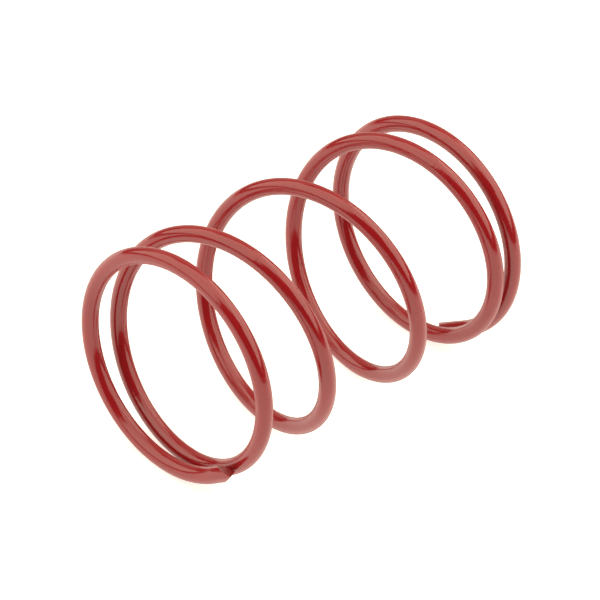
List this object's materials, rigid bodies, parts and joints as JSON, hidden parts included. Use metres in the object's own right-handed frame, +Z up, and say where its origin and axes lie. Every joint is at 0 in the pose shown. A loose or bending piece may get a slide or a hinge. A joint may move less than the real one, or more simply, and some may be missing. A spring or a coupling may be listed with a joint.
{
  "type": "coil spring",
  "caption": "Helical compression spring of round wire, right-hand wound, with closed unground ends and a pitch that opens from each end, in a glossy red powder coat.",
  "frame": {"origin": "on the surface that the spring lies on, under the middle of its length and of its width", "axes": "+Y along the coil's axis, from the front end, whose tip is at about half past four on the clock face, to the rear end; +Z up, square to the axis; the spring is free, not compressed"},
  "size_m": [0.06, 0.0964, 0.06],
  "materials": {
    "red_powder_coat": "gloss"
  },
  "bodies": {
    "front_end_coil": {"front_end_coil": "red_powder_coat"},
    "turn_2_at_05": {"turn_2_at_05": "red_powder_coat"},
    "turn_2_at_06": {"turn_2_at_06": "red_powder_coat"},
    "turn_2_at_07": {"turn_2_at_07": "red_powder_coat"},
    "turn_2_at_08": {"turn_2_at_08": "red_powder_coat"},
    "turn_2_at_09": {"turn_2_at_09": "red_powder_coat"},
    "turn_2_at_10": {"turn_2_at_10": "red_powder_coat"},
    "turn_2_at_11": {"turn_2_at_11": "red_powder_coat"},
    "turn_2_at_12": {"turn_2_at_12": "red_powder_coat"},
    "turn_2_at_01": {"turn_2_at_01": "red_powder_coat"},
    "turn_2_at_02": {"turn_2_at_02": "red_powder_coat"},
    "turn_2_at_03": {"turn_2_at_03": "red_powder_coat"},
    "turn_2_at_04": {"turn_2_at_04": "red_powder_coat"},
    "turn_3_at_05": {"turn_3_at_05": "red_powder_coat"},
    "turn_3_at_06": {"turn_3_at_06": "red_powder_coat"},
    "turn_3_at_07": {"turn_3_at_07": "red_powder_coat"},
    "turn_3_at_08": {"turn_3_at_08": "red_powder_coat"},
    "turn_3_at_09": {"turn_3_at_09": "red_powder_coat"},
    "turn_3_at_10": {"turn_3_at_10": "red_powder_coat"},
    "turn_3_at_11": {"turn_3_at_11": "red_powder_coat"},
    "turn_3_at_12": {"turn_3_at_12": "red_powder_coat"},
    "turn_3_at_01": {"turn_3_at_01": "red_powder_coat"},
    "turn_3_at_02": {"turn_3_at_02": "red_powder_coat"},
    "turn_3_at_03": {"turn_3_at_03": "red_powder_coat"},
    "turn_3_at_04": {"turn_3_at_04": "red_powder_coat"},
    "turn_4_at_05": {"turn_4_at_05": "red_powder_coat"},
    "turn_4_at_06": {"turn_4_at_06": "red_powder_coat"},
    "turn_4_at_07": {"turn_4_at_07": "red_powder_coat"},
    "turn_4_at_08": {"turn_4_at_08": "red_powder_coat"},
    "turn_4_at_09": {"turn_4_at_09": "red_powder_coat"},
    "turn_4_at_10": {"turn_4_at_10": "red_powder_coat"},
    "turn_4_at_11": {"turn_4_at_11": "red_powder_coat"},
    "turn_4_at_12": {"turn_4_at_12": "red_powder_coat"},
    "turn_4_at_01": {"turn_4_at_01": "red_powder_coat"},
    "turn_4_at_02": {"turn_4_at_02": "red_powder_coat"},
    "turn_4_at_03": {"turn_4_at_03": "red_powder_coat"},
    "turn_4_at_04": {"turn_4_at_04": "red_powder_coat"},
    "rear_end_coil": {"rear_end_coil": "red_powder_coat"}
  },
  "joints": [
    {"name": "compression", "type": "slide", "parent": "front_end_coil", "child": "rear_end_coil", "axis": [0, -1, 0], "range_m": [0, 0.064], "stiffness_N_per_m": 4900},
    {"name": "slide_turn_2_at_05", "type": "slide", "parent": "front_end_coil", "child": "turn_2_at_05", "axis": [0, -1, 0], "range_m": [0, 0.000132]},
    {"name": "slide_turn_2_at_06", "type": "slide", "parent": "front_end_coil", "child": "turn_2_at_06", "axis": [0, -1, 0], "range_m": [0, 0.000407]},
    {"name": "slide_turn_2_at_07", "type": "slide", "parent": "front_end_coil", "child": "turn_2_at_07", "axis": [0, -1, 0], "range_m": [0, 0.001]},
    {"name": "slide_turn_2_at_08", "type": "slide", "parent": "front_end_coil", "child": "turn_2_at_08", "axis": [0, -1, 0], "range_m": [0, 0.00185]},
    {"name": "slide_turn_2_at_09", "type": "slide", "parent": "front_end_coil", "child": "turn_2_at_09", "axis": [0, -1, 0], "range_m": [0, 0.00294]},
    {"name": "slide_turn_2_at_10", "type": "slide", "parent": "front_end_coil", "child": "turn_2_at_10", "axis": [0, -1, 0], "range_m": [0, 0.00424]},
    {"name": "slide_turn_2_at_11", "type": "slide", "parent": "front_end_coil", "child": "turn_2_at_11", "axis": [0, -1, 0], "range_m": [0, 0.00574]},
    {"name": "slide_turn_2_at_12", "type": "slide", "parent": "front_end_coil", "child": "turn_2_at_12", "axis": [0, -1, 0], "range_m": [0, 0.00741]},
    {"name": "slide_turn_2_at_01", "type": "slide", "parent": "front_end_coil", "child": "turn_2_at_01", "axis": [0, -1, 0], "range_m": [0, 0.00924]},
    {"name": "slide_turn_2_at_02", "type": "slide", "parent": "front_end_coil", "child": "turn_2_at_02", "axis": [0, -1, 0], "range_m": [0, 0.01119]},
    {"name": "slide_turn_2_at_03", "type": "slide", "parent": "front_end_coil", "child": "turn_2_at_03", "axis": [0, -1, 0], "range_m": [0, 0.01325]},
    {"name": "slide_turn_2_at_04", "type": "slide", "parent": "front_end_coil", "child": "turn_2_at_04", "axis": [0, -1, 0], "range_m": [0, 0.01539]},
    {"name": "slide_turn_3_at_05", "type": "slide", "parent": "front_end_coil", "child": "turn_3_at_05", "axis": [0, -1, 0], "range_m": [0, 0.0176]},
    {"name": "slide_turn_3_at_06", "type": "slide", "parent": "front_end_coil", "child": "turn_3_at_06", "axis": [0, -1, 0], "range_m": [0, 0.01984]},
    {"name": "slide_turn_3_at_07", "type": "slide", "parent": "front_end_coil", "child": "turn_3_at_07", "axis": [0, -1, 0], "range_m": [0, 0.02212]},
    {"name": "slide_turn_3_at_08", "type": "slide", "parent": "front_end_coil", "child": "turn_3_at_08", "axis": [0, -1, 0], "range_m": [0, 0.02441]},
    {"name": "slide_turn_3_at_09", "type": "slide", "parent": "front_end_coil", "child": "turn_3_at_09", "axis": [0, -1, 0], "range_m": [0, 0.02674]},
    {"name": "slide_turn_3_at_10", "type": "slide", "parent": "front_end_coil", "child": "turn_3_at_10", "axis": [0, -1, 0], "range_m": [0, 0.02907]},
    {"name": "slide_turn_3_at_11", "type": "slide", "parent": "front_end_coil", "child": "turn_3_at_11", "axis": [0, -1, 0], "range_m": [0, 0.03142]},
    {"name": "slide_turn_3_at_12", "type": "slide", "parent": "front_end_coil", "child": "turn_3_at_12", "axis": [0, -1, 0], "range_m": [0, 0.03377]},
    {"name": "slide_turn_3_at_01", "type": "slide", "parent": "front_end_coil", "child": "turn_3_at_01", "axis": [0, -1, 0], "range_m": [0, 0.03611]},
    {"name": "slide_turn_3_at_02", "type": "slide", "parent": "front_end_coil", "child": "turn_3_at_02", "axis": [0, -1, 0], "range_m": [0, 0.03845]},
    {"name": "slide_turn_3_at_03", "type": "slide", "parent": "front_end_coil", "child": "turn_3_at_03", "axis": [0, -1, 0], "range_m": [0, 0.04077]},
    {"name": "slide_turn_3_at_04", "type": "slide", "parent": "front_end_coil", "child": "turn_3_at_04", "axis": [0, -1, 0], "range_m": [0, 0.04308]},
    {"name": "slide_turn_4_at_05", "type": "slide", "parent": "front_end_coil", "child": "turn_4_at_05", "axis": [0, -1, 0], "range_m": [0, 0.04535]},
    {"name": "slide_turn_4_at_06", "type": "slide", "parent": "front_end_coil", "child": "turn_4_at_06", "axis": [0, -1, 0], "range_m": [0, 0.04759]},
    {"name": "slide_turn_4_at_07", "type": "slide", "parent": "front_end_coil", "child": "turn_4_at_07", "axis": [0, -1, 0], "range_m": [0, 0.04978]},
    {"name": "slide_turn_4_at_08", "type": "slide", "parent": "front_end_coil", "child": "turn_4_at_08", "axis": [0, -1, 0], "range_m": [0, 0.0519]},
    {"name": "slide_turn_4_at_09", "type": "slide", "parent": "front_end_coil", "child": "turn_4_at_09", "axis": [0, -1, 0], "range_m": [0, 0.05392]},
    {"name": "slide_turn_4_at_10", "type": "slide", "parent": "front_end_coil", "child": "turn_4_at_10", "axis": [0, -1, 0], "range_m": [0, 0.05582]},
    {"name": "slide_turn_4_at_11", "type": "slide", "parent": "front_end_coil", "child": "turn_4_at_11", "axis": [0, -1, 0], "range_m": [0, 0.05758]},
    {"name": "slide_turn_4_at_12", "type": "slide", "parent": "front_end_coil", "child": "turn_4_at_12", "axis": [0, -1, 0], "range_m": [0, 0.05919]},
    {"name": "slide_turn_4_at_01", "type": "slide", "parent": "front_end_coil", "child": "turn_4_at_01", "axis": [0, -1, 0], "range_m": [0, 0.0606]},
    {"name": "slide_turn_4_at_02", "type": "slide", "parent": "front_end_coil", "child": "turn_4_at_02", "axis": [0, -1, 0], "range_m": [0, 0.0618]},
    {"name": "slide_turn_4_at_03", "type": "slide", "parent": "front_end_coil", "child": "turn_4_at_03", "axis": [0, -1, 0], "range_m": [0, 0.06278]},
    {"name": "slide_turn_4_at_04", "type": "slide", "parent": "front_end_coil", "child": "turn_4_at_04", "axis": [0, -1, 0], "range_m": [0, 0.06354]}
  ],
  "couplings": [
    {"joint": "slide_turn_2_at_05", "follows": "compression", "ratio": 0.0005},
    {"joint": "slide_turn_2_at_06", "follows": "compression", "ratio": 0.0048},
    {"joint": "slide_turn_2_at_07", "follows": "compression", "ratio": 0.014},
    {"joint": "slide_turn_2_at_08", "follows": "compression", "ratio": 0.0273},
    {"joint": "slide_turn_2_at_09", "follows": "compression", "ratio": 0.0443},
    {"joint": "slide_turn_2_at_10", "follows": "compression", "ratio": 0.0647},
    {"joint": "slide_turn_2_at_11", "follows": "compression", "ratio": 0.0881},
    {"joint": "slide_turn_2_at_12", "follows": "compression", "ratio": 0.1143},
    {"joint": "slide_turn_2_at_01", "follows": "compression", "ratio": 0.1428},
    {"joint": "slide_turn_2_at_02", "follows": "compression", "ratio": 0.1733},
    {"joint": "slide_turn_2_at_03", "follows": "compression", "ratio": 0.2055},
    {"joint": "slide_turn_2_at_04", "follows": "compression", "ratio": 0.2389},
    {"joint": "slide_turn_3_at_05", "follows": "compression", "ratio": 0.2734},
    {"joint": "slide_turn_3_at_06", "follows": "compression", "ratio": 0.3084},
    {"joint": "slide_turn_3_at_07", "follows": "compression", "ratio": 0.344},
    {"joint": "slide_turn_3_at_08", "follows": "compression", "ratio": 0.3799},
    {"joint": "slide_turn_3_at_09", "follows": "compression", "ratio": 0.4162},
    {"joint": "slide_turn_3_at_10", "follows": "compression", "ratio": 0.4527},
    {"joint": "slide_turn_3_at_11", "follows": "compression", "ratio": 0.4894},
    {"joint": "slide_turn_3_at_12", "follows": "compression", "ratio": 0.5261},
    {"joint": "slide_turn_3_at_01", "follows": "compression", "ratio": 0.5627},
    {"joint": "slide_turn_3_at_02", "follows": "compression", "ratio": 0.5992},
    {"joint": "slide_turn_3_at_03", "follows": "compression", "ratio": 0.6355},
    {"joint": "slide_turn_3_at_04", "follows": "compression", "ratio": 0.6715},
    {"joint": "slide_turn_4_at_05", "follows": "compression", "ratio": 0.707},
    {"joint": "slide_turn_4_at_06", "follows": "compression", "ratio": 0.7421},
    {"joint": "slide_turn_4_at_07", "follows": "compression", "ratio": 0.7763},
    {"joint": "slide_turn_4_at_08", "follows": "compression", "ratio": 0.8094},
    {"joint": "slide_turn_4_at_09", "follows": "compression", "ratio": 0.841},
    {"joint": "slide_turn_4_at_10", "follows": "compression", "ratio": 0.8707},
    {"joint": "slide_turn_4_at_11", "follows": "compression", "ratio": 0.8982},
    {"joint": "slide_turn_4_at_12", "follows": "compression", "ratio": 0.9232},
    {"joint": "slide_turn_4_at_01", "follows": "compression", "ratio": 0.9453},
    {"joint": "slide_turn_4_at_02", "follows": "compression", "ratio": 0.9641},
    {"joint": "slide_turn_4_at_03", "follows": "compression", "ratio": 0.9794},
    {"joint": "slide_turn_4_at_04", "follows": "compression", "ratio": 0.9913}
  ]
}
